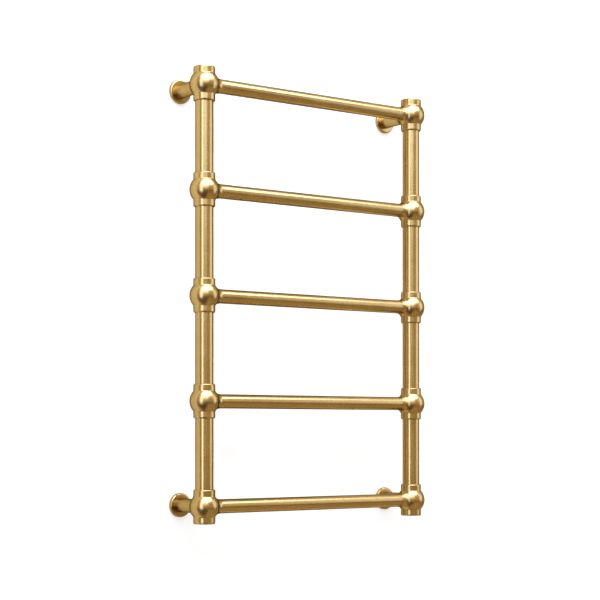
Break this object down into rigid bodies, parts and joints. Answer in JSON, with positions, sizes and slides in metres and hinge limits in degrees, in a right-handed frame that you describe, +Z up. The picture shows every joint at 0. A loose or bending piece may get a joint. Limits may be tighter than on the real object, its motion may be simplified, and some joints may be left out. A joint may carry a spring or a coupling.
{
  "type": "electric heated towel rail",
  "caption": "Wall-mounted electric towel rail in satin brass: tubular posts and rails joined by ball fittings, on stand-off brackets with round roses, warmed by an inner cable.",
  "frame": {"origin": "on the wall plane, in the middle of the four-bracket fixing pattern", "axes": "+Y into the wall, +Z up, +X to the right as seen from the room"},
  "size_m": [0.522, 0.108, 0.796],
  "materials": {
    "satin_brass": "satin brushed and lacquered brass",
    "plain_brass": "plain turned brass, unlacquered",
    "black_rubber": "moulded rubber, matt",
    "steel_fastener": "bright zinc-plated steel",
    "cable_silicone": "red-brown silicone sheath",
    "white_silicone": "white silicone, matt",
    "tinned_copper": "tinned copper",
    "thermal_cutout_case": "dark enamelled metal case",
    "lead_silicone": "off-white silicone sheath",
    "terminal_plastic": "off-white moulded polyamide",
    "earth_insulation": "green insulation with a yellow stripe"
  },
  "bodies": {
    "rail_frame": {"rail_1": "satin_brass", "left_ball_1": "satin_brass", "left_post_tube_1": "satin_brass", "right_ball_1": "satin_brass", "right_post_tube_1": "satin_brass", "rail_2": "satin_brass", "left_ball_2": "satin_brass", "left_post_tube_2": "satin_brass", "right_ball_2": "satin_brass", "right_post_tube_2": "satin_brass", "rail_3": "satin_brass", "left_ball_3": "satin_brass", "left_post_tube_3": "satin_brass", "right_ball_3": "satin_brass", "right_post_tube_3": "satin_brass", "rail_4": "satin_brass", "left_ball_4": "satin_brass", "left_post_tube_4": "satin_brass", "right_ball_4": "satin_brass", "right_post_tube_4": "satin_brass", "rail_5": "satin_brass", "left_ball_5": "satin_brass", "right_ball_5": "satin_brass", "stem_top_left": "satin_brass", "end_plug_top_left": "satin_brass", "wall_plate_top_left": "plain_brass", "stem_top_right": "satin_brass", "end_plug_top_right": "satin_brass", "wall_plate_top_right": "plain_brass", "stem_bottom_left": "satin_brass", "end_plug_bottom_left": "satin_brass", "wall_plate_bottom_left": "plain_brass", "stem_bottom_right": "satin_brass", "end_plug_bottom_right": "satin_brass", "wall_plate_bottom_right": "plain_brass", "plug_seals": "black_rubber", "grub_screws": "steel_fastener", "heating_cable": "cable_silicone", "cable_end_seal": "cable_silicone", "cable_guides": "white_silicone", "splice_sleeve": "white_silicone", "crimp_connectors": "tinned_copper", "thermal_cutout": "thermal_cutout_case", "supply_lead": "lead_silicone", "terminal_block": "terminal_plastic", "terminal_screws": "steel_fastener", "inlet_grommet": "black_rubber", "earth_lug": "tinned_copper", "earth_screw": "steel_fastener", "earth_wire": "earth_insulation"},
    "top_left_rose": {"rose_top_left": "satin_brass", "rose_ring_top_left": "black_rubber"},
    "top_right_rose": {"rose_top_right": "satin_brass", "rose_ring_top_right": "black_rubber"},
    "bottom_left_rose": {"rose_bottom_left": "satin_brass", "rose_ring_bottom_left": "black_rubber"},
    "bottom_right_rose": {"rose_bottom_right": "satin_brass", "rose_ring_bottom_right": "black_rubber"}
  },
  "joints": [
    {"name": "top_left_rose_slide", "type": "slide", "parent": "rail_frame", "child": "top_left_rose", "axis": [0, -1, 0], "range_m": [0, 0.044]},
    {"name": "top_right_rose_slide", "type": "slide", "parent": "rail_frame", "child": "top_right_rose", "axis": [0, -1, 0], "range_m": [0, 0.044]},
    {"name": "bottom_left_rose_slide", "type": "slide", "parent": "rail_frame", "child": "bottom_left_rose", "axis": [0, -1, 0], "range_m": [0, 0.044]},
    {"name": "bottom_right_rose_slide", "type": "slide", "parent": "rail_frame", "child": "bottom_right_rose", "axis": [0, -1, 0], "range_m": [0, 0.044]}
  ]
}
